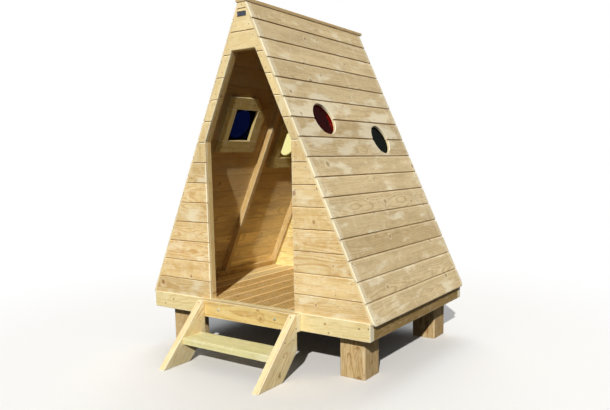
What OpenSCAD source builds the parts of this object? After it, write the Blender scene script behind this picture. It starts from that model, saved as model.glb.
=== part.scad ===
// Children's A-frame cabin: two steep boarded slopes that meet under a flat ridge cap, an open
// six-sided doorway, four round windows, a raised floor on four square posts and one step.
// Millimetres. X runs across the front, Y runs from the front to the back and Z runs up.
// Inside the modules the floor's top is at z = 0 and the front boards' face is at y = 0.

/* [A-frame] */
// Length of the slopes, from the front boards' face to the back boards' face
cabin_d = 1130; // [1000:10:1400]
// Steepness of the slopes, in degrees from level
slope_angle = 65; // [62:0.5:68]
// Thickness of the wall and slope boards
board_t = 16; // [12:1:22]
// Distance between the slopes' inner faces at their top edges
ridge_gap = 25; // [15:1:40]
// How far the slopes run on below the floor's top, along the slope
slope_drop = 16.5; // [5:0.5:40]
// Radius of the slopes' rounded lower corners
corner_r = 28; // [10:1:50]

/* [Boards] */
// Height of the front and back walls' lowest board
wall_first = 98; // [60:1:112]
// Height that each board above it covers
wall_cover = 112.2; // [90:0.1:140]
// Height of the slopes' lowest board, up the slope
slope_first = 118.5; // [60:0.5:120]
// Height that each board above it covers, up the slope
slope_cover = 111.2; // [90:0.1:140]
// Depth of the grooves where boards meet
groove_d = 2.5; // [1:0.5:4]

/* [Ridge cap] */
// How far the ridge cap overhangs each slope
cap_side = 6; // [2:1:20]
// Thickness of the ridge cap
cap_t = 18; // [12:1:25]
// How far the ridge cap runs past the front boards
cap_front = 6; // [0:1:40]
// How far the ridge cap runs past the back boards
cap_back = 20; // [0:1:40]

/* [Floor frame] */
// Width of the floor frame over its side boards
floor_w = 1506; // [1420:2:1600]
// Height of the floor frame's boards
rim_h = 94; // [80:1:120]
// Thickness of the floor frame's boards
rim_t = 36; // [30:1:45]
// How far the floor frame stands out past the front and back boards
rim_proud = 6; // [0:1:12]
// Thickness of the deck boards
deck_t = 28; // [20:1:32]
// Thickness of each joist under the deck
joist_t = 45; // [35:1:60]

/* [Posts] */
// Side of the square posts
post_w = 150; // [100:2:160]
// Height of the posts, from the ground to the floor frame
post_h = 226; // [150:2:300]
// Distance from the floor frame's outer faces to the posts
post_inset = 74; // [40:1:110]
// Radius of the posts' rounded arrises
post_arris = 12; // [3:1:20]

/* [Rafters] */
// Depth of the rafters, square to the slope
rafter_d = 40; // [30:1:45]
// Width of the rafters, along the cabin
rafter_w = 33; // [25:1:45]
// Height of the rails along the foot of the slopes
rail_h = 40; // [30:1:60]

/* [Doorway] */
// Width of the doorway between the upright posts
door_w = 594; // [500:2:640]
// Width of the doorway's level top
door_top_w = 158; // [120:2:240]
// Width of the upright door posts
door_post_w = 45; // [30:1:60]
// Height of the block over the doorway
door_head_h = 45; // [30:1:60]

/* [Windows] */
// Radius of the round holes in the slopes
hole_r = 90; // [60:1:92]
// Distance of the front windows' centre from the front boards' face
front_window_y = 295; // [270:5:320]
// Distance of the front windows' centre up the slope
front_window_s = 1101; // [1000:5:1200]
// Distance of the back windows' centre from the back boards' face
back_window_inset = 299; // [270:5:320]
// Distance of the back windows' centre up the slope
back_window_s = 989; // [900:5:1100]
// How far the inner frames' opening clears the hole on each side, along the cabin
frame_clear_y = 3; // [1:1:10]
// How far the inner frames' opening clears the hole on each side, up the slope
frame_clear_s = 6; // [1:1:10]
// Width of the inner frames' boards
frame_board_w = 72; // [50:1:74]
// Thickness of the inner frames' boards
frame_t = 22; // [16:1:30]
// Length of the cut-off corner, along the cabin
frame_clip_y = 110; // [20:5:120]
// Length of the cut-off corner, up the slope
frame_clip_s = 84; // [20:5:110]
// Thickness of the panes
pane_t = 4; // [3:0.5:6]
// How far the panes reach behind the inner frames' boards
pane_lap = 14; // [8:1:25]
// Clearance round the panes
pane_gap = 0.5; // [0.3:0.1:1.5]

/* [Step] */
// Distance between the step's sloping side boards
step_w = 608; // [500:2:650]
// Thickness of the step's side boards
stringer_t = 40; // [30:1:45]
// Width of the step's side boards, square to their edges
stringer_w = 139; // [110:1:160]
// Steepness of the step's side boards, in degrees from level
stringer_angle = 46.4; // [44:0.2:52]
// Length of the level top of the step's side boards
stringer_top = 13; // [8:1:30]
// Thickness of the board that fixes the step to the floor frame
back_board_t = 36; // [30:1:45]
// Height of the tread's top above the ground
tread_z = 145; // [120:5:170]
// Depth of the tread, from front to back
tread_d = 144; // [110:2:150]
// Thickness of the tread
tread_t = 38; // [28:1:45]

/* [Name plate] */
// Width of the bare plate on the gable
plate_w = 58; // [30:1:80]
// Height of the bare plate
plate_h = 24; // [15:1:40]
// Thickness of the bare plate
plate_t = 2.5; // [1:0.5:4]
// Distance from the slopes' top edges down to the plate's middle
plate_drop = 59; // [40:1:120]

/* [Hidden] */
// Room that a cutter runs past what it cuts
past = 5;
// Height of the floor's top above the ground
floor_z = post_h + rim_h;
// Run of the slope for each millimetre of height
lean = 1 / tan(slope_angle);
// Width of a board or rafter measured level across the slope
board_x = board_t / sin(slope_angle);
rafter_x = rafter_d / sin(slope_angle);
// Distance from the middle to the slopes' inner and outer faces, and the rafters' inner faces, at the floor
inner_x = floor_w / 2;
outer_x = inner_x + board_x;
room_x = inner_x - rafter_x;
// Height of the slopes' top edges above the floor
ridge_z = (inner_x - ridge_gap / 2) / lean;
// Width of the ridge cap
cap_w = ridge_gap + 2 * (board_x + cap_side);
// Front face of the floor frame, and its back face
rim_front_y = -rim_proud;
rim_back_y = cabin_d + rim_proud;
// Front faces of the front, middle and back rafters
front_rafter_y = board_t;
back_rafter_y = cabin_d - board_t - rafter_w;
mid_rafter_y = (front_rafter_y + back_rafter_y) / 2;
// Front faces of the posts
front_post_y = rim_front_y + post_inset;
back_post_y = rim_back_y - post_inset - post_w;
// Height where the doorway's upright sides meet its leaning sides, and height of its level top
kink_z = (room_x - door_w / 2) / lean;
door_h = (room_x - door_top_w / 2) / lean;
// Centre of each window: distance from the front boards' face, and up the slope from the floor
front_window = [front_window_y, front_window_s];
back_window = [cabin_d - back_window_inset, back_window_s];
// Half of the inner frames' opening, and half of the frames themselves
open_y = hole_r + frame_clear_y;
open_s = hole_r + frame_clear_s;
frame_y = open_y + frame_board_w;
frame_s = open_s + frame_board_w;
// Height of the plate's middle
plate_z = ridge_z - plate_drop;
// Where the step's side boards meet the ground and the back board
step_back_y = rim_front_y - back_board_t;
foot_front_y = step_back_y - stringer_top - floor_z / tan(stringer_angle);
foot_back_y = foot_front_y + stringer_w / sin(stringer_angle);
heel_z = (step_back_y - foot_back_y) * tan(stringer_angle) - floor_z;
// Middle of the whole cabin, from the front to the back
mid_y = (foot_front_y + cabin_d + cap_back) / 2;

$fn = 72;

// Distance from the middle to a leaning face at height z, for its distance at the floor
function lean_x(floor_x, z) = floor_x - z * lean;

// Puts children in the part's own frame, with the ground at z = 0 and the middle at y = 0
module placed() {
    translate([0, -mid_y, floor_z]) children();
}

// Mirrors children to the left where side is -1
module on_side(side) {
    if (side < 0) mirror([1, 0, 0]) children();
    else children();
}

// Puts children on the right slope: X runs outwards from its outer face, Y along the cabin and
// Z up the slope from the floor
module on_slope() {
    translate([outer_x, 0, 0]) rotate([0, slope_angle - 90, 0]) children();
}

// Extrudes an outline drawn in X and Z from the front face y over a length
module run_back(y, length) {
    translate([0, y + length, 0]) rotate([90, 0, 0]) linear_extrude(height = length) children();
}

module block(low, high) {
    translate(low) cube(high - low);
}

module rounded_square(size, r) {
    union() {
        translate([r, 0]) square([size - 2 * r, size]);
        translate([0, r]) square([size, size - 2 * r]);
        for (x = [r, size - r], y = [r, size - r]) translate([x, y]) circle(r = r);
    }
}

module post(side, y) {
    color("burlywood") placed() on_side(side)
        translate([floor_w / 2 - post_inset - post_w, y, -floor_z])
            linear_extrude(height = post_h) rounded_square(post_w, post_arris);
}

module post_front_left() { post(-1, front_post_y); }
module post_front_right() { post(1, front_post_y); }
module post_back_left() { post(-1, back_post_y); }
module post_back_right() { post(1, back_post_y); }

module rim_across(y) {
    color("palegoldenrod") placed()
        block([-floor_w / 2, y, -rim_h], [floor_w / 2, y + rim_t, 0]);
}
module rim_front() { rim_across(rim_front_y); }
module rim_back() { rim_across(rim_back_y - rim_t); }

module rim_along(side) {
    color("tan") placed() on_side(side)
        block([floor_w / 2 - rim_t, rim_front_y + rim_t, -rim_h], [floor_w / 2, rim_back_y - rim_t, 0]);
}
module rim_left() { rim_along(-1); }
module rim_right() { rim_along(1); }

// Three joists across the frame: one over each pair of posts and one midway
module floor_joists() {
    front_y = front_post_y + (post_w - joist_t) / 2;
    back_y = back_post_y + (post_w - joist_t) / 2;
    color("tan") placed()
        for (y = [front_y, (front_y + back_y) / 2, back_y])
            block([-floor_w / 2 + rim_t, y, -rim_h], [floor_w / 2 - rim_t, y + joist_t, -deck_t]);
}

module floor_deck() {
    color("peru") placed()
        block(
            [-floor_w / 2 + rim_t, rim_front_y + rim_t, -deck_t],
            [floor_w / 2 - rim_t, rim_back_y - rim_t, 0]
        );
}

// V grooves on a face at y, where the boards of a wall meet
module wall_grooves(y) {
    for (z = [wall_first : wall_cover : ridge_z])
        translate([-inner_x - past, y, z]) rotate([45, 0, 0])
            translate([0, -groove_d / sqrt(2), -groove_d / sqrt(2)])
                cube([floor_w + 2 * past, groove_d * sqrt(2), groove_d * sqrt(2)]);
}

// Front boards beside the doorway, up to its kink
module wall_beside_door(side) {
    color("wheat") placed() on_side(side) difference() {
        run_back(0, board_t)
            polygon([
                [door_w / 2, 0], [inner_x, 0],
                [lean_x(inner_x, kink_z), kink_z], [door_w / 2, kink_z]
            ]);
        wall_grooves(0);
    }
}
module front_wall_left() { wall_beside_door(-1); }
module front_wall_right() { wall_beside_door(1); }

// Front boards from the kink up to the doorway's head: their inner edge follows the rafter
module wall_over_kink(side) {
    color("wheat") placed() on_side(side) difference() {
        run_back(0, board_t)
            polygon([
                [door_w / 2, kink_z], [lean_x(inner_x, kink_z), kink_z],
                [lean_x(inner_x, door_h), door_h], [door_top_w / 2, door_h]
            ]);
        wall_grooves(0);
    }
}
module front_wall_left_upper() { wall_over_kink(-1); }
module front_wall_right_upper() { wall_over_kink(1); }

// Outline of a wall between the slopes from height low up to the ridge
module gable_outline(low) {
    foot = lean_x(inner_x, low);
    top = lean_x(inner_x, ridge_z);
    polygon([[-foot, low], [foot, low], [top, ridge_z], [-top, ridge_z]]);
}

module front_gable() {
    color("wheat") placed() difference() {
        run_back(0, board_t) gable_outline(door_h);
        wall_grooves(0);
    }
}

module back_wall() {
    color("wheat") placed() difference() {
        run_back(cabin_d - board_t, board_t) gable_outline(0);
        wall_grooves(cabin_d);
    }
}

// Cuts one lower corner of a slope to a quarter round, at the slope's end y
module corner_cutter(y, inwards) {
    translate([-board_t - past, y, -slope_drop])
        difference() {
            translate([0, min(0, inwards * corner_r), 0])
                translate([0, inwards > 0 ? -past : 0, -past])
                    cube([board_t + 2 * past, corner_r + past, corner_r + past]);
            translate([-past, inwards * corner_r, corner_r]) rotate([0, 90, 0])
                cylinder(r = corner_r, h = board_t + 4 * past);
        }
}

// Outline of a slope across its thickness, with a V groove in the outer face where its boards meet
module slope_outline() {
    rise = sin(slope_angle);
    polygon([
        [-board_t, -slope_drop], [0, -slope_drop],
        for (s = [slope_first - slope_drop : slope_cover : ridge_z / rise])
            each [[0, s - groove_d], [-groove_d, s], [0, s + groove_d]],
        [0, ridge_z / rise], [-board_t, (ridge_z + board_t * cos(slope_angle)) / rise]
    ]);
}

module slope(side) {
    color("tan") placed() on_side(side) on_slope() difference() {
        run_back(0, cabin_d) slope_outline();
        corner_cutter(0, 1);
        corner_cutter(cabin_d, -1);
        for (spot = [front_window, back_window])
            translate([-board_t - past, spot[0], spot[1]]) rotate([0, 90, 0])
                cylinder(r = hole_r, h = board_t + 2 * past);
    }
}
module left_slope() { slope(-1); }
module right_slope() { slope(1); }

module ridge_cap() {
    color("wheat") placed()
        block([-cap_w / 2, -cap_front, ridge_z], [cap_w / 2, cabin_d + cap_back, ridge_z + cap_t]);
}

// One rafter against a slope's inner face; each pair meets on the middle plane under the cap
module rafter(side, y) {
    color("burlywood") placed() on_side(side) run_back(y, rafter_w)
        polygon([
            [room_x, 0], [inner_x, 0], [lean_x(inner_x, ridge_z), ridge_z],
            [0, ridge_z], [0, room_x / lean]
        ]);
}
module front_rafter_left() { rafter(-1, front_rafter_y); }
module front_rafter_right() { rafter(1, front_rafter_y); }
module middle_rafter_left() { rafter(-1, mid_rafter_y); }
module middle_rafter_right() { rafter(1, mid_rafter_y); }
module back_rafter_left() { rafter(-1, back_rafter_y); }
module back_rafter_right() { rafter(1, back_rafter_y); }

// Two rails on the deck along a slope's foot, between the rafters
module foot_rails(side) {
    color("burlywood") placed() on_side(side)
        for (span = [
            [front_rafter_y + rafter_w, mid_rafter_y],
            [mid_rafter_y + rafter_w, back_rafter_y]
        ])
            run_back(span[0], span[1] - span[0])
                polygon([
                    [room_x, 0], [inner_x, 0],
                    [lean_x(inner_x, rail_h), rail_h], [lean_x(room_x, rail_h), rail_h]
                ]);
}
module foot_rails_left() { foot_rails(-1); }
module foot_rails_right() { foot_rails(1); }

// Upright beside the doorway, cut to the slant of the rafter that it carries
module door_post(side) {
    far_x = door_w / 2 + door_post_w;
    color("burlywood") placed() on_side(side) run_back(front_rafter_y, rafter_w)
        polygon([
            [door_w / 2, 0], [far_x, 0], [far_x, (room_x - far_x) / lean], [door_w / 2, kink_z]
        ]);
}
module door_post_left() { door_post(-1); }
module door_post_right() { door_post(1); }

// Block between the front rafters that closes the doorway's head
module door_head() {
    top_z = door_h + door_head_h;
    foot = lean_x(room_x, door_h);
    top = lean_x(room_x, top_z);
    color("burlywood") placed() run_back(front_rafter_y, rafter_w)
        polygon([[-foot, door_h], [foot, door_h], [top, top_z], [-top, top_z]]);
}

// Inner window frame of four boards with one corner cut off, rebated for its pane
module window_frame(side, centre) {
    rebate_y = open_y + pane_lap + pane_gap;
    rebate_s = open_s + pane_lap + pane_gap;
    color("tan") placed() on_side(side) on_slope() translate([-board_t, centre[0], centre[1]])
        difference() {
            translate([-frame_t, 0, 0]) rotate([90, 0, 90]) linear_extrude(height = frame_t)
                polygon([
                    [-frame_y, -frame_s], [frame_y, -frame_s], [frame_y, frame_s - frame_clip_s],
                    [frame_y - frame_clip_y, frame_s], [-frame_y, frame_s]
                ]);
            block([-frame_t - past, -open_y, -open_s], [past, open_y, open_s]);
            block([-pane_t - pane_gap, -rebate_y, -rebate_s], [past, rebate_y, rebate_s]);
        }
}
module window_frame_left_front() { window_frame(-1, front_window); }
module window_frame_left_back() { window_frame(-1, back_window); }
module window_frame_right_front() { window_frame(1, front_window); }
module window_frame_right_back() { window_frame(1, back_window); }

// Flat pane against a slope's inner face, inside its frame's rebate
module pane(side, centre, shade) {
    half_y = open_y + pane_lap;
    half_s = open_s + pane_lap;
    color(shade) placed() on_side(side) on_slope() translate([-board_t, centre[0], centre[1]])
        block([-pane_t, -half_y, -half_s], [0, half_y, half_s]);
}
module pane_blue() { pane(-1, front_window, "navy"); }
module pane_yellow() { pane(-1, back_window, "gold"); }
module pane_red() { pane(1, front_window, "darkred"); }
module pane_green() { pane(1, back_window, "darkgreen"); }

// Board that fixes the step to the floor frame: it spans both side boards
module step_back_board() {
    half = step_w / 2 + stringer_t;
    color("goldenrod") placed()
        block([-half, step_back_y, -rim_h], [half, rim_front_y, 0]);
}

// Sloping side board: level at its top and foot, upright where it meets the back board
module step_side(side) {
    color("palegoldenrod") placed() on_side(side)
        translate([step_w / 2, 0, 0]) rotate([90, 0, 90]) linear_extrude(height = stringer_t)
            polygon([
                [step_back_y, 0], [step_back_y - stringer_top, 0], [foot_front_y, -floor_z],
                [foot_back_y, -floor_z], [step_back_y, heel_z]
            ]);
}
module step_side_left() { step_side(-1); }
module step_side_right() { step_side(1); }

// Tread between the side boards, centred on their width
module step_tread() {
    mid_z = tread_z - tread_t / 2;
    centre_y = (foot_front_y + foot_back_y) / 2 + mid_z / tan(stringer_angle);
    color("khaki") placed()
        block(
            [-step_w / 2, centre_y - tread_d / 2, tread_z - tread_t - floor_z],
            [step_w / 2, centre_y + tread_d / 2, tread_z - floor_z]
        );
}

module name_plate() {
    color("slategray") placed()
        block([-plate_w / 2, -plate_t, plate_z - plate_h / 2], [plate_w / 2, 0, plate_z + plate_h / 2]);
}

post_front_left();
post_front_right();
post_back_left();
post_back_right();
rim_front();
rim_back();
rim_left();
rim_right();
floor_joists();
floor_deck();
front_wall_left();
front_wall_left_upper();
front_wall_right();
front_wall_right_upper();
front_gable();
back_wall();
left_slope();
right_slope();
ridge_cap();
front_rafter_left();
front_rafter_right();
middle_rafter_left();
middle_rafter_right();
back_rafter_left();
back_rafter_right();
foot_rails_left();
foot_rails_right();
door_post_left();
door_post_right();
door_head();
window_frame_left_front();
window_frame_left_back();
window_frame_right_front();
window_frame_right_back();
pane_blue();
pane_yellow();
pane_red();
pane_green();
step_back_board();
step_side_left();
step_side_right();
step_tread();
name_plate();
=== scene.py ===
# %% [markdown]
# # A children's A-frame cabin, boarded and finished
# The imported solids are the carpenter's frame. This lesson puts the single boards, the fixings and
# the timber's own grain on that frame, step by step, and ends with camera, light and floor.
# Lengths are in metres. X runs across the front, Y from front to back and Z up from the ground.

import random
from functools import partial, partialmethod, reduce
from math import ceil, cos, pi, radians, sin
from types import SimpleNamespace

import bmesh
import bpy
from mathutils import Matrix, Vector


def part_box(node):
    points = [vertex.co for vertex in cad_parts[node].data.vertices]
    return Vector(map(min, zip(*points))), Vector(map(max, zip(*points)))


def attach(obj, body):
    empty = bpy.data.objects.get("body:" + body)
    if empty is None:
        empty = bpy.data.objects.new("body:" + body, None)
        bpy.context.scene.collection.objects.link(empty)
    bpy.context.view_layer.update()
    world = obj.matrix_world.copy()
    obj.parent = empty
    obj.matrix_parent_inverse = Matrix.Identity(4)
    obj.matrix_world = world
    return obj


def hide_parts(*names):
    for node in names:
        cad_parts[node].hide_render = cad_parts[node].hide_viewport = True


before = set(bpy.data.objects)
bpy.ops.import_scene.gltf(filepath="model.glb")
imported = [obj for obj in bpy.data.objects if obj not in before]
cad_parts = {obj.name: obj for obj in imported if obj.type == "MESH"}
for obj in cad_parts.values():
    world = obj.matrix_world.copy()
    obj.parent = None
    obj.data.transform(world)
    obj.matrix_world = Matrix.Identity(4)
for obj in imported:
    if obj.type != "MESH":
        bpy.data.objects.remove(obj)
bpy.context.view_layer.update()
scene = bpy.context.scene
print("solids loaded:", len(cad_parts))

# %% [markdown]
# ## The cabin's measures
# Most places are read from the solids' boxes, so a board goes where the solid is. What a box can't
# tell is written here once more: the slopes' pitch, the boards' sizes, the windows' centres (back
# from the front edge and up the slope) and half the opening of their inner frames.

# %% Measures
SLOPE_PITCH = radians(65)
RISE = sin(SLOPE_PITCH)
RUN = cos(SLOPE_PITCH)
LEAN = RUN / RISE
BOARD_T = 0.016
SLOPE_DROP = 0.0165
HOLE_R = 0.090
WINDOWS = {"front": (0.295, 1.101), "back": (0.831, 0.989)}
OPEN_ALONG = 0.093
OPEN_UP = 0.096

FLOOR_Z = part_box("floor_deck")[1].z
FRONT_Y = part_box("front_gable")[0].y
BACK_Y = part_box("back_wall")[1].y
CABIN_D = BACK_Y - FRONT_Y
INNER_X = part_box("rim_right")[1].x
OUTER_X = INNER_X + BOARD_T / RISE
RIDGE_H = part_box("ridge_cap")[0].z - FLOOR_Z
TOP_X = INNER_X - RIDGE_H * LEAN
DOOR_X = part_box("front_wall_right")[0].x
KINK_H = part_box("front_wall_right")[1].z - FLOOR_Z
HEAD_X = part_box("front_wall_right_upper")[0].x
HEAD_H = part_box("front_gable")[0].z - FLOOR_Z
STEP_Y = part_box("step_back_board")[0].y
RIM_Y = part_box("rim_front")[0].y
print("cabin depth", round(CABIN_D, 4), "ridge over floor", round(RIDGE_H, 4))

# %% [markdown]
# ## Four faces, one way to work on them
# A carpenter lays a wall flat and works along it. So each boarded face gets a frame of its own: X
# runs along its boards, Y goes into the wall and Z climbs the face. What is made there is moved to
# the cabin at the end, so a slope is as easy as an upright wall.


# %% Frames of the boarded faces
def face_frame(origin, along, up):
    """Matrix from a face's own frame to the cabin."""
    turn = Matrix((along, up.cross(along), up)).transposed().to_4x4()
    return Matrix.Translation(origin) @ turn


ACROSS = Vector((1, 0, 0))
BACKWARD = Vector((0, 1, 0))
UPWARD = Vector((0, 0, 1))
STAIR_PITCH = radians(46.4)
STAIR_UP = Vector((0, cos(STAIR_PITCH), sin(STAIR_PITCH)))
FRONT = face_frame((0, FRONT_Y, FLOOR_Z), ACROSS, UPWARD)
BACK = face_frame((0, BACK_Y, FLOOR_Z), -ACROSS, UPWARD)
RIGHT = face_frame((OUTER_X, FRONT_Y, FLOOR_Z), BACKWARD, Vector((-RUN, 0, RISE)))
LEFT = face_frame((-OUTER_X, BACK_Y, FLOOR_Z), -BACKWARD, Vector((RUN, 0, RISE)))
STAIR = face_frame((0, 0, 0), STAIR_UP, ACROSS)
LEVEL = Matrix.Identity(4)
print("front frame", [round(v, 3) for v in FRONT.translation])

# %% [markdown]
# ## Small mesh tools
# Every later cell uses these few helpers. They make an object, turn it with its modifiers into a
# plain mesh, draw a prism from an outline, and cut a mesh with another.

# %% Mesh helpers
SHARP_OVER = radians(35)


def new_object(name, mesh):
    obj = bpy.data.objects.new(name, mesh)
    scene.collection.objects.link(obj)
    return obj


def from_bmesh(name, bm):
    mesh = bpy.data.meshes.new(name)
    bm.to_mesh(mesh)
    bm.free()
    return new_object(name, mesh)


def bake(obj):
    """Turns an object with its modifiers into a plain mesh."""
    bpy.context.view_layer.update()
    graph = bpy.context.evaluated_depsgraph_get()
    mesh = bpy.data.meshes.new_from_object(obj.evaluated_get(graph), depsgraph=graph)
    obj.modifiers.clear()
    obj.data = mesh
    return obj


def discard(obj):
    bpy.data.objects.remove(obj)


def swept(corners, way):
    """Closed block between a face and the same face moved."""
    bm = bmesh.new()
    face = bm.faces.new([bm.verts.new(corner) for corner in corners])
    made = bmesh.ops.extrude_face_region(bm, geom=[face])
    moved = [part for part in made["geom"] if isinstance(part, bmesh.types.BMVert)]
    bmesh.ops.translate(bm, verts=moved, vec=way)
    bmesh.ops.recalc_face_normals(bm, faces=bm.faces)
    return bm


def prism(outline, low, high):
    """Block with an outline drawn in X and Z, between two depths in Y."""
    return swept([(x, low, z) for x, z in outline], (0, high - low, 0))


def oblong(x0, x1, z0, z1):
    return [(x0, z0), (x1, z0), (x1, z1), (x0, z1)]


def carve(obj, tool, how):
    """Cuts a mesh with another one, which is then thrown away."""
    cut = obj.modifiers.new("Cut", "BOOLEAN")
    cut.object = tool
    cut.operation = how
    cut.solver = "EXACT"
    bake(obj)
    discard(tool)
    return obj


def shade(obj):
    """Smooth arrises beside flat faces: wide faces keep their own normals."""
    obj.data.shade_smooth()
    obj.data.set_sharp_from_angle(angle=SHARP_OVER)
    obj.modifiers.new("Weigh", "WEIGHTED_NORMAL").keep_sharp = True
    return bake(obj)


def hand_over(obj, slot, *nodes):
    """Puts a piece on the cabin's one body, in place of its solids. The slot is not used."""
    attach(obj, "root")
    if nodes:
        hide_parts(*nodes)


# %% [markdown]
# ## Grain that follows each timber
# A board is a slice of a log, and where the slice was decides whether its rings show as arches,
# lines or arcs. So each timber gets its own place in a log as a vector on its points, X along the
# log, and Y and Z out from its heart, and one wood material can finish them all. Three random
# numbers set a timber's tone. Marks on its faces tell arrises, sawn ends, faces that look into the
# cabin, where no rain and no sander has been and painted shade darkens the wood towards the top,
# and the sides of a joint, which are darkened with dirt and painted shade. The scoop under each
# joint shares the arrises' mark, for a painted highlight.

# %% Log coordinates
ARRIS_WIDTH = 0.0034
END_FACING = 0.8
JOINT_FACING = 0.15
INNER_FACING = 0.7
SKIN = 0.0008
JOINT_REACH = 0.003
SCOOP_STRETCH = 1.6
SCOOP_PAINTED_HIGHLIGHT = 0.14
GRAIN_DATA = {
    "log": ("FLOAT_VECTOR", "POINT"), "tone": ("FLOAT_VECTOR", "POINT"),
    "marks": ("FLOAT_VECTOR", "FACE"), "dirt_and_shade_in_joint": ("FLOAT", "FACE"),
}


def islands(mesh):
    """Lists of point numbers, one for each closed shell."""
    parent = list(range(len(mesh.vertices)))

    def root(i):
        while parent[i] != i:
            parent[i] = parent[parent[i]]
            i = parent[i]
        return i

    for edge in mesh.edges:
        first, second = edge.vertices
        parent[root(second)] = root(first)
    groups = {}
    for i in range(len(parent)):
        groups.setdefault(root(i), []).append(i)
    return groups.values()


def extent(points, axis):
    """Middle and size of a shell along an axis."""
    reach = [point.dot(axis) for point in points]
    return (min(reach) + max(reach)) / 2, max(reach) - min(reach)


def log_places(points, directions, rng, boxed_heart):
    """The way of a shell's grain, and its points' places in a log."""
    along, across, through = sorted(directions, key=lambda axis: -extent(points, axis)[1])
    middle, width = extent(points, across)
    depth, thickness = extent(points, through)
    if boxed_heart:
        middle += rng.uniform(-0.1, 0.1) * width
        depth += rng.uniform(-0.1, 0.1) * thickness
    else:
        beyond = rng.uniform(0.3, 1.4) * width + thickness / 2
        depth -= rng.choice((-1, 1)) * beyond
        middle += rng.uniform(-0.45, 0.45) * width
    start = rng.uniform(0, 40)
    drift = rng.uniform(-0.02, 0.02)
    places = []
    for point in points:
        reach = point.dot(along)
        aside = point.dot(across) - middle + drift * reach
        places.append((reach + start, aside, point.dot(through) - depth))
    return along, places


def is_narrow(mesh, face):
    corners = [mesh.vertices[i].co for i in face.vertices]
    around = sum((corners[i] - corners[i - 1]).length for i in range(len(corners)))
    return 2 * face.area < ARRIS_WIDTH * around


def beside_joint(spot, first, cover, slot, scoop):
    """Whether a place on a boarded face lies inside a joint, and whether it lies in the scoop."""
    off = (spot.z - first + cover / 2) % cover - cover / 2
    shut = SKIN < spot.y < BOARD_T - SKIN and abs(off) < JOINT_REACH
    return shut, spot.y < scoop and -SCOOP_STRETCH * scoop < off + slot / 2 < 0


def give_grain(obj, axes, seed, boxed_heart=False, joints=None):
    """Places each shell of a mesh in a log. The grain runs along its longest side."""
    mesh = obj.data
    rng = random.Random(seed)
    directions = list(axes.to_3x3().col)
    for name, (kind, domain) in GRAIN_DATA.items():
        mesh.attributes.new(name, kind, domain)
    log, tone, marks, dirt_and_shade_in_joint = (mesh.attributes[name] for name in GRAIN_DATA)
    along_of = {}
    for group in islands(mesh):
        points = [mesh.vertices[i].co for i in group]
        along, places = log_places(points, directions, rng, boxed_heart)
        dice = [rng.random() for _ in range(3)]
        for i, place in zip(group, places):
            log.data[i].vector = place
            tone.data[i].vector = dice
            along_of[i] = along
    to_face = axes.inverted()
    for face in mesh.polygons:
        facing = abs(face.normal.dot(along_of[face.vertices[0]]))
        arris = float(is_narrow(mesh, face) and (facing > JOINT_FACING or not joints))
        if joints and not arris:
            shut, scooped = beside_joint(to_face @ face.center, **joints)
            # The scoop under each joint takes a share of the arris mark: a painted highlight where it faces
            # the light.
            arris = SCOOP_PAINTED_HIGHLIGHT * scooped
            # The sides of a joint are marked for dirt and painted shade.
            dirt_and_shade_in_joint.data[face.index].value = float(shut)
        inside = face.normal.dot(directions[1]) > INNER_FACING
        marks.data[face.index].vector = (arris, float(facing > END_FACING), float(inside))


# %% [markdown]
# ## Node trees from short lines
# A finish is a sum of masks, and sums are easiest to read as sums. A Wire stands for one socket,
# and adding or multiplying wires adds the Math nodes. Colours are mixed by a Mix node, because a
# Math node would turn them grey.


# %% Nodes and wires
def wire_up(tree, node, sockets):
    """Gives each socket a value or a link. A node stands for its first output."""
    for name, value in sockets.items():
        if isinstance(value, Wire):
            value = value.socket
        elif isinstance(value, bpy.types.Node):
            value = value.outputs[0]
        if isinstance(value, bpy.types.NodeSocket):
            tree.links.new(value, node.inputs[name])
        else:
            node.inputs[name].default_value = value
    return node


def add_node(tree, kind, sockets=None, **settings):
    """Adds a node: its settings first, because they decide which sockets it shows."""
    node = tree.nodes.new(kind)
    for name, value in settings.items():
        setattr(node, name, value)
    return wire_up(tree, node, sockets or {})


def shader_node(tree, kind, sockets=None, **settings):
    return add_node(tree, "ShaderNode" + kind, sockets, **settings)


class Wire:
    """One output of a finish's nodes, which can be written in sums."""

    def __init__(self, finish, socket):
        self.finish = finish
        self.socket = socket

    def apply(self, operation, *others):
        sockets = dict(enumerate((self, *others)))
        return self.finish.node("Math", sockets, operation=operation)

    def __rsub__(self, other):
        return self * -1.0 + other

    __add__ = partialmethod(apply, "ADD")
    __sub__ = partialmethod(apply, "SUBTRACT")
    __mul__ = partialmethod(apply, "MULTIPLY")
    __truediv__ = partialmethod(apply, "DIVIDE")

    def split(self):
        node = shader_node(self.finish.tree, "SeparateXYZ", {0: self})
        return [Wire(self.finish, socket) for socket in node.outputs]

    def distance(self, point):
        return self.finish.node("VectorMath", {0: self, 1: point}, "Value", operation="DISTANCE")

    def noise(self, scale=1.0, detail=2.0, rough=0.5):
        sockets = {"Vector": self, "Scale": scale, "Detail": detail, "Roughness": rough}
        return self.finish.node("TexNoise", sockets)

    def step(self, low, high, start=0.0, end=1.0):
        """Smooth step of a value between two limits."""
        sockets = {"Value": self, "From Min": low, "From Max": high, "To Min": start, "To Max": end}
        return self.finish.node("MapRange", sockets, interpolation_type="SMOOTHSTEP")

    def band(self, start, full, fall, none):
        """Share that rises from start to full, and falls again to none."""
        return self.step(start, full) * self.step(none, fall)


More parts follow.
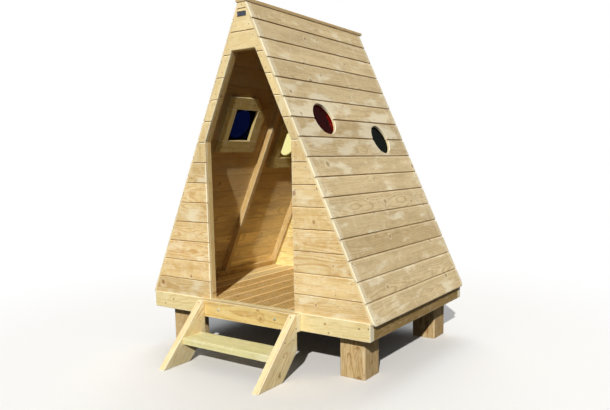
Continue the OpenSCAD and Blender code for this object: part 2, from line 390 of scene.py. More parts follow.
class Finish:
    """A material under construction."""

    def __init__(self, name):
        self.material = bpy.data.materials.new(name)
        self.material.use_nodes = True
        self.tree = self.material.node_tree
        self.shader = self.tree.nodes["Principled BSDF"]
        self.place = self.node("TexCoord", output="Object")

    def node(self, kind, sockets=None, output=0, **settings):
        return Wire(self, shader_node(self.tree, kind, sockets, **settings).outputs[output])

    def join(self, x, y, z):
        return self.node("CombineXYZ", {0: x, 1: y, 2: z})

    def mix(self, factor, first, second, blend="MIX"):
        sockets = {0: factor, 6: first, 7: second}
        return self.node("Mix", sockets, 2, data_type="RGBA", blend_type=blend)

    def coats(self, colour, *coats):
        """Lays tints over a colour, each as strong as its mask."""
        return reduce(lambda under, coat: self.mix(coat[0], under, coat[1]), coats, colour)

    def shade(self, colour, factor):
        """A colour made lighter or darker by a value near one."""
        return self.mix(1.0, colour, self.join(factor, factor, factor), "MULTIPLY")

    def bump(self, height, strength, distance):
        return self.node("Bump", {"Strength": strength, "Distance": distance, "Height": height})

    def output(self, **sockets):
        wire_up(self.tree, self.shader, {name.replace("_", " "): sockets[name] for name in sockets})
        return self.material


def srgb(red, green, blue):
    """A colour as it is seen on a screen, 0 to 255, as the shader's own light values."""
    shares = [value / 255 for value in (red, green, blue)]
    return tuple(s / 12.92 if s <= 0.04045 else ((s + 0.055) / 1.055) ** 2.4 for s in shares) + (1.0,)


# %% [markdown]
# ## Softwood
# The cabin is pressure treated softwood: pale early wood, narrow orange late wood, small knots with
# a dark rim, and a faint green cast. A picture texture could only repeat one board. Here the rings
# are the distance from the log's heart, bent where a branch pushed through, so arches, lines and
# end grain all come from one rule. Weather adds pale dry patches, whitish scuffs across the grain,
# and arrises that a sander left almost cream. A kind of wood is three tints, the strengths of its
# layers, where 0 is none, and a few sizes.

# %% Wood finish
TURN = 2 * pi
CREAM = srgb(255, 250, 226)
BARK = srgb(84, 50, 26)
BRANCH = srgb(112, 68, 34)
DIRT = srgb(98, 62, 28)
JOINT_DIRT_AND_SHADE_TINT = srgb(112, 76, 38)
PAINTED_ROOF_SHADE = srgb(196, 162, 106)
PALER_LOT = srgb(255, 238, 184)
KNOT_GAP = 0.15
KNOT_SPREAD = 1.3
PAINTED_SHADE_FROM = 0.45
PAINTED_SHADE_FULL = 1.25
HAND_REACH = 0.34
HAND_FULL = 0.12
PLAIN_WOOD = dict(
    rings=0.5, ring_gap=0.0045, waver=0.006, blotch=0.3, warmed=0.35, streaks=0.5, mottled=0.25,
    knots=0.45, knot_r=0.0075, extra_knots=(), knot_tint=(184, 130, 74), dry=0.0, scuffs=0.0,
    runs=0.0, sanded=0.0, rubbed_round=(), arris_light=0.55, indoors=None, paler_lot=None,
    grooves=0.0, joint_dirt=0.0, pale_ends=0.0, end_tint=(244, 222, 170), rough=0.72, variety=0.14)


class Wood(Finish):
    """Softwood that follows the log coordinates of its timber."""

    def __init__(self, name, pale, late, cast, **kind):
        super().__init__(name)
        self.kind = SimpleNamespace(**dict(PLAIN_WOOD, **kind))
        self.pale, self.late, self.cast = srgb(*pale), srgb(*late), srgb(*cast)
        self.xyz = self.place.split()
        self.along, self.side, self.out = self.mark("log").split()
        self.tone, self.warmth, self.figure = self.mark("tone").split()
        self.arris, self.end, self.inside = self.mark("marks").split()
        self.outside = 1.0 - self.inside
        self.radius = (self.side * self.side + self.out * self.out).apply("SQRT")
        self.streak = self.grain(1.9, 85.0, detail=3.0, rough=0.55)
        self.stain = self.grain(3.5, 14.0, detail=4.0, rough=0.6)
        # Faces that look into the cabin are painted darker towards the top: painted shade high under the
        # roof.
        if self.kind.indoors:
            upper = self.xyz[2].step(PAINTED_SHADE_FROM, PAINTED_SHADE_FULL)
            indoors_painted_shade = self.mix(upper * 0.85, srgb(*self.kind.indoors), PAINTED_ROOF_SHADE)
            self.pale = self.mix(self.inside, self.pale, indoors_painted_shade)
            self.kind.streaks = (1.0 - self.inside * 0.6) * self.kind.streaks

    def mark(self, name, output="Vector"):
        return self.node("Attribute", output=output, attribute_name=name)

    def grain(self, along, across, detail=2.0, rough=0.5, shift=0.0):
        """Noise drawn out along the log: so many waves in a metre along it, and across it."""
        place = self.join(self.along * along, self.side * across, self.out * across + shift)
        return place.noise(detail=detail, rough=rough)

    def knot_distance(self):
        """Distance from the nearest knot's centre, counted in that knot's size."""
        knot_r = self.kind.knot_r
        number = (self.along / KNOT_GAP).apply("FLOOR")
        dice = self.node("TexWhiteNoise", {"Vector": self.join(number, self.tone * 53.0, 0.0)},
                         "Color", noise_dimensions="2D")
        where, turn, size = dice.split()
        past = self.along - (number + where * 0.6 + 0.2) * KNOT_GAP
        bearing = (turn - 0.5) * KNOT_SPREAD + self.out.apply("SIGN") * (TURN / 4)
        aside = self.radius * (self.out.apply("ARCTAN2", self.side) - bearing).apply("SINE")
        away = (past * past + aside * aside).apply("SQRT")
        there = (size * 5.7).apply("FRACT").apply("LESS_THAN", self.kind.knots)
        near = away / (size * size * knot_r + knot_r * 0.3) + (1.0 - there) * 100.0
        for point, reach in self.kind.extra_knots:
            near = near.apply("MINIMUM", self.place.distance(point) / reach)
        return near

    def rings(self, swell):
        """Share of late wood, in rings that waver and bend round the knots."""
        slow = self.grain(1.6, 5.0)
        bends = self.grain(7.0, 30.0)
        grown = self.radius + (slow - 0.5) * 0.05 + (bends - 0.5) * self.kind.waver - swell * 0.011
        return (grown / self.kind.ring_gap).apply("FRACT").band(0.5, 0.92, 0.95, 1.0)

    def figure_coats(self, late_wood, swell):
        """Rings, stains and streaks of one board."""
        kind, late = self.kind, self.late
        dash = self.grain(14.0, 160.0, detail=3.0, rough=0.6)
        mottle = self.grain(19.0, 34.0, detail=3.0, rough=0.6)
        return (
            (late_wood * ((self.figure.step(0.2, 0.9) + 0.15) * kind.rings), late),
            (self.stain.step(0.42, 0.68) * kind.blotch, self.cast),
            (self.warmth.step(0.5, 1.0) * kind.warmed, late),
            (self.streak.step(0.5, 0.72) * kind.streaks, late),
            (dash.step(0.55, 0.68) * kind.streaks, late), (swell.step(0.25, 0.9) * 0.5, late),
            (mottle.step(0.47, 0.68) * kind.mottled, self.mix(0.5, self.pale, CREAM)),
        )

    def weather(self, halo):
        """Share of dry, scuffed, washed or sanded wood on the outer faces."""
        kind = self.kind
        _, back, high = self.xyz
        patch = self.grain(5.0, 13.0, detail=3.0, shift=7.0)
        for point in kind.rubbed_round:
            patch = patch + self.place.distance(point).step(HAND_REACH, HAND_FULL) * 0.13
        scuff = self.grain(75.0, 16.0).step(0.60, 0.71)
        rubbed = self.grain(5.0, 9.0, detail=1.0, shift=3.0).step(0.48, 0.62)
        light = [patch.step(0.54, 0.70) * kind.dry, scuff * rubbed * kind.scuffs, halo * kind.scuffs * 0.8]
        if kind.runs:
            run = self.join(back * 15.0, high * 1.7, self.side * 2.5).noise(rough=0.4)
            where = self.join(back * 2.5, high * 4.0, 2.0).noise()
            light.append(run.step(0.55, 0.68) * where.step(0.42, 0.6) * kind.runs)
        if kind.sanded:
            from_end = (back - FRONT_Y).apply("MINIMUM", BACK_Y - back) + (self.stain - 0.5) * 0.05
            light.append(from_end.step(kind.sanded, kind.sanded * 0.5) * 0.55)
        return reduce(lambda first, second: first.apply("MAXIMUM", second), light) * self.outside

    def knot_coats(self, near, knot):
        """A knot's face with its own rings, its dark rim and its heart."""
        branch_ring = (near * 3.2).apply("FRACT").step(0.4, 0.9)
        return (
            (knot * 0.65, srgb(*self.kind.knot_tint)), (knot * branch_ring * 0.35, BRANCH),
            (near.band(0.65, 1.0, 1.05, 1.35) * 0.38, BARK), (near.step(0.42, 0.15) * 0.5, BARK),
        )

    def use_coats(self):
        """Worn arrises with the scoops' painted highlight, boards of a paler lot, dirt in the grooves and
        pale sawn ends.
        """
        kind = self.kind
        yield self.arris * (self.streak + 0.4) * kind.arris_light, CREAM
        if kind.paler_lot:
            axis, start, full, share = kind.paler_lot
            yield self.xyz[axis].step(start, full) * self.outside * share, PALER_LOT
        if kind.grooves:
            deep = FLOOR_Z - self.xyz[2] + (self.streak - 0.5) * 0.0008
            yield deep.step(0.0003, kind.grooves) * (1.0 - self.arris) * 0.85, DIRT
        yield self.end * kind.pale_ends, srgb(*kind.end_tint)

    def build(self):
        kind = self.kind
        near = self.knot_distance()
        knot = near.step(1.05, 0.8)
        swell = (near * near * -0.22).apply("EXPONENT")
        late_wood = self.rings(swell)
        dry = (self.weather(near.band(1.1, 1.5, 1.7, 3.2)), self.mix(0.6, self.pale, CREAM))
        fibre = self.grain(9.0, 520.0, rough=0.6)
        fleck = self.grain(24.0, 60.0)
        tone = (self.tone - 0.5) * kind.variety + (fibre - 0.5) * 0.16 + (self.warmth - 0.5) * 0.05 + 1.0
        colour = self.coats(self.pale, *self.figure_coats(late_wood, swell), dry,
                            *self.knot_coats(near, knot), *self.use_coats())
        # Inside the joints the wood is darkened: dirt, and painted shade of the recess.
        colour = self.mix(self.mark("dirt_and_shade_in_joint", "Fac") * kind.joint_dirt, self.shade(colour, tone), JOINT_DIRT_AND_SHADE_TINT)
        bump = self.bump(fibre * 0.5 + late_wood * 0.35 + knot * 0.3 + fleck * 0.2, 0.35, 0.0012)
        dull = (fibre - 0.5) * 0.2 + kind.rough - knot * 0.15 - late_wood * 0.06
        return self.output(Base_Color=colour, Roughness=dull, Normal=bump, Specular_IOR_Level=0.28)


# %% Kinds of wood
UPPER_FRONT = (2, 1.1, 1.4, 0.45)
LEFT_DECK = (0, -0.478, -0.479, 0.6)
SIDES = (-1, 1)
HOLE_CENTRES = [
    Vector((side * (OUTER_X - up * RUN), FRONT_Y + back, FLOOR_Z + up * RISE))
    for back, up in WINDOWS.values() for side in SIDES
]
STEP_KNOTS = (((0.087, STEP_Y, 0.3106), 0.006), ((0.104, STEP_Y, 0.265), 0.009))
RIM_KNOTS = (((0.493, RIM_Y, 0.2833), 0.005),)
KINDS = {
    "front_boards": dict(
        pale=(238, 213, 159), late=(200, 150, 84), cast=(216, 186, 127), indoors=(236, 225, 156),
        rings=0.62, waver=0.005, knots=0.6, knot_r=0.009, blotch=0.8, scuffs=0.3, dry=0.8,
        pale_ends=0.6, variety=0.2, arris_light=1.2, mottled=0.4, warmed=0.15, streaks=0.38,
        joint_dirt=0.45, paler_lot=UPPER_FRONT),
    "slope_boards": dict(
        pale=(230, 207, 162), late=(178, 147, 97), cast=(205, 182, 139), indoors=(255, 232, 172),
        knot_tint=(190, 150, 98), knots=0.5, knot_r=0.009, blotch=0.8, arris_light=1.6,
        pale_ends=0.5, dry=0.85, scuffs=0.6, runs=0.3, sanded=0.046, streaks=0.35, mottled=0.12,
        joint_dirt=0.5, rubbed_round=HOLE_CENTRES),
    "cap_board": dict(pale=(228, 204, 152), late=(204, 160, 100), cast=(220, 194, 140)),
    "green_board": dict(
        pale=(248, 234, 184), late=(214, 184, 114), cast=(232, 220, 164), end_tint=(250, 240, 210),
        rings=0.55, waver=0.008, blotch=0.5, arris_light=0.9, variety=0.1, pale_ends=0.9,
        extra_knots=RIM_KNOTS),
    "stringer": dict(
        pale=(255, 236, 188), late=(214, 174, 112), cast=(228, 212, 162), rings=0.6, waver=0.01,
        knots=0.12, blotch=0.7, arris_light=0.7, dry=0.8, variety=0.06, warmed=0.15),
    "frame_board": dict(pale=(220, 194, 134), late=(178, 132, 74), cast=(204, 178, 116), rings=0.45),
    "window_frame": dict(pale=(216, 200, 134), late=(172, 140, 76), cast=(198, 180, 114),
                         arris_light=0.8),
    "side_rim": dict(
        pale=(196, 168, 112), late=(132, 98, 50), cast=(168, 142, 86), end_tint=(250, 236, 190),
        rings=0.7, knots=0.6, blotch=0.8, pale_ends=0.9),
    "deck": dict(
        pale=(250, 210, 132), late=(184, 134, 62), cast=(224, 178, 100), rings=0.6, ring_gap=0.003,
        arris_light=0.28, variety=0.2, grooves=0.0016, mottled=0.4, paler_lot=LEFT_DECK),
    "step_board": dict(
        pale=(228, 202, 136), late=(190, 146, 78), cast=(210, 184, 116), end_tint=(255, 246, 210),
        knot_tint=(206, 168, 104), rings=0.55, ring_gap=0.010, knots=0.0, extra_knots=STEP_KNOTS,
        pale_ends=0.95, warmed=0.15),
    "tread": dict(
        pale=(244, 238, 180), late=(204, 186, 112), cast=(226, 220, 156), knots=0.3, blotch=0.6,
        dry=1.0, scuffs=0.5, arris_light=0.2),
    "post": dict(
        pale=(214, 186, 136), late=(154, 114, 64), cast=(188, 160, 108), rings=0.9,
        ring_gap=0.0065, waver=0.016, knots=0.35, blotch=0.6, rough=0.8, variety=0.1,
        arris_light=0.12),
}
WOODS = {name: Wood(name, **kind).build() for name, kind in KINDS.items()}
print("wood finishes:", len(WOODS))

# %% [markdown]
# ## Boards sawn to a form
# The real maker nails full boards over the frame, saws them to the outline and rounds the new edge
# with a router. The geometry tree does the same: it repeats one board up the face, moves each a
# hair inwards and upwards, and keeps what lies inside a form that is outlined and rounded already.


# %% Geometry tree that boards a face
def new_tree(name, **inputs):
    """A geometry tree with inputs of the kinds given. Returns it with the inputs' sockets."""
    tree = bpy.data.node_groups.new(name, "GeometryNodeTree")
    for way in ("INPUT", "OUTPUT"):
        tree.interface.new_socket("Geometry", in_out=way, socket_type="NodeSocketGeometry")
    for label, kind in inputs.items():
        tree.interface.new_socket(label, in_out="INPUT", socket_type="NodeSocket" + kind)
    return tree, tree.nodes.new("NodeGroupInput").outputs


def run_tree(obj, tree, **values):
    """Runs a geometry tree on an object and keeps the result as a plain mesh."""
    modifier = obj.modifiers.new("Tree", "NODES")
    modifier.node_group = tree
    for item in tree.interface.items_tree:
        if item.in_out == "INPUT" and item.name in values:
            modifier[item.identifier] = values[item.name]
    return bake(obj)


def other_object(tree, which, as_instance=False):
    """Another object's shape, seen from the object that the tree runs on."""
    sockets = {"Object": which, "As Instance": as_instance}
    node = add_node(tree, "GeometryNodeObjectInfo", sockets, transform_space="RELATIVE")
    return node.outputs["Geometry"]


def up_to(tree, largest, seed):
    """A random value from nothing to the largest, drawn anew for each copy."""
    return add_node(tree, "FunctionNodeRandomValue", {2: 0.0, 3: largest, "Seed": seed}).outputs[1]


def finish_tree(tree, geometry, material):
    """Ends a tree: instances become real, and the finish is set."""
    real = add_node(tree, "GeometryNodeRealizeInstances", {"Geometry": geometry})
    done = add_node(tree, "GeometryNodeSetMaterial", {"Geometry": real, "Material": material})
    add_node(tree, "NodeGroupOutput", {0: done})


UPWARDS_SEED = 7


def boarding_tree():
    tree, given = new_tree("board_a_face", Lowest="Object", Form="Object", First="Float",
                           Cover="Float", Courses="Int", Inwards="Float", Upwards="Float",
                           Seed="Int", Material="Material")
    add = partial(add_node, tree)
    start = add("ShaderNodeCombineXYZ", {2: given["First"]})
    rise = add("ShaderNodeCombineXYZ", {2: given["Cover"]})
    line = add("GeometryNodeMeshLine", {"Count": given["Courses"], "Start Location": start,
                                        "Offset": rise}, mode="OFFSET")
    placed = add("GeometryNodeInstanceOnPoints", {"Points": line, "Instance": given["Geometry"]})
    boards = add("GeometryNodeJoinGeometry", {0: placed})
    tree.links.new(other_object(tree, given["Lowest"], True), boards.inputs[0])
    inwards = up_to(tree, given["Inwards"], given["Seed"])
    upwards = up_to(tree, given["Upwards"], UPWARDS_SEED)
    play = add("ShaderNodeCombineXYZ", {1: inwards, 2: upwards})
    moved = add("GeometryNodeTranslateInstances", {"Instances": boards, "Translation": play})
    real = add("GeometryNodeRealizeInstances", {"Geometry": moved})
    sawn = add("GeometryNodeMeshBoolean", {1: real}, operation="INTERSECT", solver="EXACT")
    tree.links.new(other_object(tree, given["Form"]), sawn.inputs[1])
    finish_tree(tree, sawn, given["Material"])
    return tree


BOARDING = boarding_tree()
print("tree", BOARDING.name, "has", len(BOARDING.nodes), "nodes")

# %% [markdown]
# ## The tongued board
# Its section has a tongue on top and a groove below, a small rounded arris at the bottom edge and a
# wider scoop at the top edge, which catches the light, with a painted highlight added, as a bright
# line under each dark joint. The faces lie a hair inside the form's, because two faces in one plane
# make an unclean cut.

# %% Section of a tongued board
HAIR = 0.00006
WALL_JOINT = {"slot": 0.0028, "scoop": 0.0034}
SLOPE_JOINT = {"slot": 0.0034, "scoop": 0.0060}
SCOOP_STEPS = 4
TONGUE_FRONT, TONGUE_BACK = 0.0062, 0.0104
TONGUE_SIDE, TONGUE_TIP, TONGUE_EASE = 0.0058, 0.0063, 0.0006
GROOVE_FRONT, GROOVE_BACK, GROOVE_DEEP = 0.0058, 0.0108, 0.0082
BACK_GAP, BACK_ARRIS, FOOT_ARRIS = 0.0008, 0.0010, 0.0012


def quarter(steps, start_deg=0):
    """Cosine and sine of each angle of a quarter turn."""
    angles = [radians(start_deg + 90 * i / steps) for i in range(steps + 1)]
    return [(cos(angle), sin(angle)) for angle in angles]


def tongued_section(low, high, slot, scoop):
    """Corners (depth, height) of a board's section between its two joints."""
    foot, head = low + slot / 2, high - slot / 2
    back_foot, back_head = low + BACK_GAP, high - BACK_GAP
    back, middle = BOARD_T - HAIR, FOOT_ARRIS / 3
    lip = SCOOP_STRETCH * scoop
    return [
        (GROOVE_FRONT, foot), (HAIR + FOOT_ARRIS, foot),
        (HAIR + middle, foot + middle), (HAIR, foot + FOOT_ARRIS),
        *((HAIR + scoop * sine, head - lip * cosine) for cosine, sine in quarter(SCOOP_STEPS)),
        (TONGUE_FRONT, head), (TONGUE_FRONT, head + TONGUE_SIDE),
        (TONGUE_FRONT + TONGUE_EASE, head + TONGUE_TIP),
        (TONGUE_BACK - TONGUE_EASE, head + TONGUE_TIP),
        (TONGUE_BACK, head + TONGUE_SIDE), (TONGUE_BACK, back_head),
        (back - BACK_ARRIS, back_head), (back, back_head - BACK_ARRIS),
        (back, back_foot + BACK_ARRIS), (back - BACK_ARRIS, back_foot),
        (GROOVE_BACK, back_foot), (GROOVE_BACK, foot + GROOVE_DEEP),
        (GROOVE_FRONT, foot + GROOVE_DEEP),
    ]


def long_board(section, start, end):
    return swept([(start, depth, height) for depth, height in section], (end - start, 0, 0))


def round_face_edges(bm, radius, chosen):
    """Rounds those arrises of a form's outer face that the test chooses."""
    edges = [edge for edge in bm.edges
             if all(v.co.y < HAIR for v in edge.verts) and chosen(*[v.co for v in edge.verts])]
    bmesh.ops.bevel(bm, geom=edges, offset=radius, segments=4, profile=0.5, affect="EDGES")


SPARE = 0.02
PLAY_INWARDS = 0.00035
PLAY_UPWARDS = 0.0005


def board_up(name, where, form, first, cover, low, high, reach, finish, seed, section, **joint):
    """Boards a face from its lowest edge to its top and saws the boards to the form."""
    boards = from_bmesh(name, long_board(section(0.0, cover, **joint), *reach))
    lowest = from_bmesh("lowest", long_board(section(low - SPARE, first, **joint), *reach))
    courses = ceil((high - first) / cover)
    run_tree(boards, BOARDING, Lowest=lowest, Form=form, First=first, Cover=cover, Courses=courses,
             Inwards=PLAY_INWARDS, Upwards=PLAY_UPWARDS, Seed=seed, Material=WOODS[finish])
    discard(lowest)
    discard(form)
    boards.data.transform(where)
    shade(boards)
    give_grain(boards, where, seed, joints=dict(joint, first=first, cover=cover) if joint else None)
    print(name, "courses", courses + 1, "faces", len(boards.data.polygons))
    return boards


# %% [markdown]
# ## Front and back walls
# The front wall is one face of boards with the six-sided doorway sawn out of it, so the boards over
# the doorway are notched as the real ones are. The doorway's edge is rounded on the outer face.

# %% Front and back walls
WALL_FIRST = 0.098
WALL_COVER = 0.1122
WALL_REACH = (-INNER_X - SPARE, INNER_X + SPARE)
WALL_TOP = [(INNER_X, 0), (TOP_X, RIDGE_H), (-TOP_X, RIDGE_H)]
DOOR_ARRIS = 0.006
DOOR_FOOT = 0.01


def front_form():
    opening = [(-DOOR_X, 0), (-DOOR_X, KINK_H), (-HEAD_X, HEAD_H),
               (HEAD_X, HEAD_H), (DOOR_X, KINK_H), (DOOR_X, 0)]
    bm = prism([(-INNER_X, 0)] + opening + WALL_TOP, 0, BOARD_T)

    def beside_opening(first, second):
        middle = (first + second) / 2
        return abs(middle.x) < DOOR_X + HAIR and DOOR_FOOT < middle.z < HEAD_H + HAIR

    round_face_edges(bm, DOOR_ARRIS, beside_opening)
    return from_bmesh("front_form", bm)


def wall(name, where, form, seed, *nodes):
    boards = board_up(name, where, form, WALL_FIRST, WALL_COVER, 0, RIDGE_H, WALL_REACH,
                      "front_boards", seed, tongued_section, **WALL_JOINT)
    hand_over(boards, "cladding", *nodes)


wall("front_boards", FRONT, front_form(), 3, "front_wall_left", "front_wall_left_upper",
     "front_wall_right", "front_wall_right_upper", "front_gable")
back_form = from_bmesh("back_form", prism([(-INNER_X, 0)] + WALL_TOP, 0, BOARD_T))
wall("back_boards", BACK, back_form, 6, "back_wall")

# %% [markdown]
# ## The slopes
# A slope's outline is rounded at its two lower corners, and its whole outer edge has a wide round
# arris that was sanded after boarding. Its top is cut level, to carry the ridge cap. The holes are
# cut with a spool: a disc that flares where the hole meets the outer face.

# %% Slopes with round holes
SLOPE_FIRST = 0.102
SLOPE_COVER = 0.1112
CORNER_R = 0.028
SLOPE_ARRIS = 0.0055
HOLE_ARRIS = 0.0046
CORNER_STEPS = 8
FLARE_STEPS = 4
HOLE_STEPS = 96
SLOPE_TOP = RIDGE_H / RISE


def corner_arc(x, z, start_deg):
    """Points of a quarter round about a centre."""
    return [(x + CORNER_R * cosine, z + CORNER_R * sine) for cosine, sine in quarter(CORNER_STEPS, start_deg)]


def turned(name, profile, steps, centre=(0, 0)):
    """Closed round piece turned about Y, from (depth, radius) points."""
    bm = bmesh.new()
    x, z = centre
    turns = [TURN * i / steps for i in range(steps)]
    rings = [[bm.verts.new((x + r * cos(t), y, z + r * sin(t))) for t in turns] for y, r in profile]
    for lower, upper in zip(rings, rings[1:]):
        for i in range(steps):
            j = (i + 1) % steps
            bm.faces.new((lower[i], lower[j], upper[j], upper[i]))
    bm.faces.new(rings[0])
    bm.faces.new(rings[-1])
    bmesh.ops.recalc_face_normals(bm, faces=bm.faces)
    return from_bmesh(name, bm)


def spool(centre, radius, arris):
    """Cutter of a round hole that is rounded where it meets the outer face."""
    flare = [(arris * (1 - cosine), radius + arris * (1 - sine)) for cosine, sine in quarter(FLARE_STEPS)]
    profile = [(-SPARE, radius + arris), *flare, (BOARD_T + SPARE, radius)]
    return turned("spool", profile, HOLE_STEPS, centre)


def slope_form(centres):
    low = CORNER_R - SLOPE_DROP
    outline = (corner_arc(CORNER_R, low, 180) + corner_arc(CABIN_D - CORNER_R, low, 270)
               + [(CABIN_D, SLOPE_TOP), (0, SLOPE_TOP)])
    bm = prism(outline, 0, BOARD_T)
    for vert in bm.verts:
        if vert.co.z > SLOPE_TOP - HAIR and vert.co.y > HAIR:
            vert.co.z += BOARD_T * LEAN
    round_face_edges(bm, SLOPE_ARRIS, lambda first, second: min(first.z, second.z) < SLOPE_TOP - HAIR)
    form = from_bmesh("slope_form", bm)
    for centre in centres:
        carve(form, spool(centre, HOLE_R, HOLE_ARRIS), "DIFFERENCE")
    return form


def window_centre(which, side):
    """Centre of a round window in its slope's own frame."""
    back, up = WINDOWS[which]
    return (back if side > 0 else CABIN_D - back, up)


def slope(name, where, side, node, seed):
    form = slope_form([window_centre(which, side) for which in WINDOWS])
    boards = board_up(name, where, form, SLOPE_FIRST, SLOPE_COVER, -SLOPE_DROP, SLOPE_TOP + SPARE,
                      (-SPARE, CABIN_D + SPARE), "slope_boards", seed, tongued_section, **SLOPE_JOINT)
    hand_over(boards, "cladding", node)


slope("right_boards", RIGHT, 1, "right_slope", 11)
slope("left_boards", LEFT, -1, "left_slope", 13)

# %% [markdown]
# ## The deck
# The floor is boarded from front to back with ribbed boards, so wet feet don't slip. It is the same
# tree with another section: the face is the floor's top, and the boards are laid side by side.

# %% Ribbed deck
DECK_LOW, DECK_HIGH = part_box("floor_deck")
DECK_W = DECK_HIGH.x - DECK_LOW.x
DECK_D = DECK_HIGH.y - DECK_LOW.y
DECK_T = DECK_HIGH.z - DECK_LOW.z
DECK_BOARDS = 12
DECK_COVER = DECK_W / DECK_BOARDS
DECK = face_frame((DECK_LOW.x, DECK_HIGH.y, DECK_HIGH.z), -BACKWARD, ACROSS)
DECK_GAP = 0.0016
DECK_ARRIS = 0.004
RIBS = 5
RIB_DEPTH = 0.0022
RIB_MARGIN = 0.011
RIB_SHAPE = ((0, HAIR), (0.16, RIB_DEPTH), (0.36, RIB_DEPTH), (0.52, HAIR))


def ribbed_section(low, high):
    """Section of a deck board: a plain edge each side and shallow ribs between."""
    foot, head = low + DECK_GAP, high - DECK_GAP
    pitch = (head - foot - 2 * RIB_MARGIN) / RIBS
    eased_in, eased_up = 0.0013, 0.0011
    corners = [(DECK_T - HAIR, head), (DECK_T - HAIR, foot), (DECK_ARRIS, foot),
               (eased_in, foot + eased_up), (HAIR, foot + DECK_ARRIS)]
    for rib in range(RIBS):
        start = foot + RIB_MARGIN + rib * pitch
        corners += [(depth, start + pitch * share) for share, depth in RIB_SHAPE]
    return corners + [(HAIR, head - DECK_ARRIS), (eased_in, head - eased_up), (DECK_ARRIS, head)]


deck_form = from_bmesh("deck_form", prism(oblong(0, DECK_D, 0, DECK_W), 0, DECK_T))
deck = board_up("deck_boards", DECK, deck_form, DECK_COVER, DECK_COVER, SPARE, DECK_W,
                (-SPARE, DECK_D + SPARE), "deck", 17, ribbed_section)
hand_over(deck, "deck", "floor_deck")

# %% [markdown]
# ## Solid timbers with eased arrises
# Posts, rims, rafters and the step are single sawn timbers. Their solids have the right shape, but
# a planed timber never has a knife-sharp edge. Each gets a copy with its arrises eased, and its
# grain along its own length.

# %% Timbers
EASE_OVER = radians(15)
FLAT_UNDER = radians(0.6)
WELD_UNDER = 2e-6
RAFTERS = ("front", "middle", "back")


def clean_copy(node):
    """Copy of a solid's mesh with its loose triangles joined into plain faces."""
    bm = bmesh.new()
    bm.from_mesh(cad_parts[node].data)
    bmesh.ops.remove_doubles(bm, verts=bm.verts, dist=WELD_UNDER)
    bmesh.ops.dissolve_limit(bm, angle_limit=FLAT_UNDER, verts=bm.verts, edges=bm.edges)
    bmesh.ops.recalc_face_normals(bm, faces=bm.faces)
    return bm


def eased(name, bm, radius, segments, material, where=LEVEL):
    """Rounds every sharp arris of a piece, gives it its finish and moves it to the cabin."""
    edges = [e for e in bm.edges if len(e.link_faces) == 2 and e.calc_face_angle() > EASE_OVER]
    bmesh.ops.bevel(bm, geom=edges, offset=radius, segments=segments, profile=0.5, affect="EDGES",
                    clamp_overlap=True)
    obj = from_bmesh(name, bm)
    obj.data.materials.append(material)
    obj.data.transform(where)
    return shade(obj)


def timbers(finish, slot, radius, seed, *nodes, axes=LEVEL, boxed_heart=False):
    """Timbers of one kind. Each takes the next seed for its place in a log."""
    for number, node in enumerate(nodes):
        obj = eased(node + "_timber", clean_copy(node), radius, 3, WOODS[finish])
        give_grain(obj, axes, seed + number, boxed_heart)
        hand_over(obj, slot, node)


timbers("post", "post", 0.0025, 101, "post_front_left", "post_front_right", "post_back_left",
        "post_back_right", boxed_heart=True)
timbers("green_board", "green_board", 0.003, 111, "rim_front", "rim_back")
timbers("side_rim", "frame_board", 0.003, 121, "rim_left", "rim_right")
timbers("frame_board", "frame_board", 0.002, 131, "floor_joists")
timbers("cap_board", "cladding", 0.003, 141, "ridge_cap")
# Any number does for a seed. A rafter's follows from the length of its words, so some share one.
for place in RAFTERS:
    for side, axes in (("left", LEFT), ("right", RIGHT)):
        timbers("frame_board", "frame_board", 0.002, 151 + len(place) + len(side),
                f"{place}_rafter_{side}", axes=axes)
timbers("frame_board", "frame_board", 0.002, 161, "foot_rails_left", "foot_rails_right",
        "door_post_left", "door_post_right", "door_head")
timbers("step_board", "step_board", 0.003, 177, "step_back_board")
timbers("stringer", "green_board", 0.003, 193, "step_side_left", "step_side_right", axes=STAIR)
timbers("tread", "green_board", 0.004, 191, "step_tread")

# %% [markdown]
# ## Window frames of four boards
# Inside, each pane is held by four short boards that butt together, and one outer corner is sawn
# off. The solid is a single ring, so it is cut here into its four boards, with a hair of a joint.

# %% Window frames
JOINT = 0.0003
FAR = 0.3


def window_frame(which, side_name, side, where):
    node = f"window_frame_{side_name}_{which}"
    x, z = window_centre(which, side)
    west, east = x - OPEN_ALONG - JOINT, x + OPEN_ALONG + JOINT
    low, high = z - OPEN_UP, z + OPEN_UP
    spaces = [
        (x - FAR, x + FAR, z - FAR, low - JOINT), (x - FAR, x + FAR, high + JOINT, z + FAR),
        (x - FAR, west, low + JOINT, high - JOINT), (east, x + FAR, low + JOINT, high - JOINT),
    ]
    joined = bmesh.new()
    for space in spaces:
        board = from_bmesh("board", clean_copy(node))
        board.data.transform(where.inverted())
        carve(board, from_bmesh("space", prism(oblong(*space), -SPARE, 3 * SPARE)), "INTERSECT")
        joined.from_mesh(board.data)
        discard(board)
    obj = eased(node + "_boards", joined, 0.0012, 2, WOODS["window_frame"], where)
    give_grain(obj, where, seed=201 + len(node))
    hand_over(obj, "frame_board", node)


for which in WINDOWS:
    window_frame(which, "left", -1, LEFT)
    window_frame(which, "right", 1, RIGHT)

# %% [markdown]
# ## Coloured panes and the plate
# The panes are tinted acrylic, glossy, with a little dust. Their solids are right as they are and
# only get a finish. A ray tracer stops sunlight at a solid pane, so for shadow rays alone the pane
# is a plain coloured filter, and the sun paints the frame behind it. The plate is bare metal.


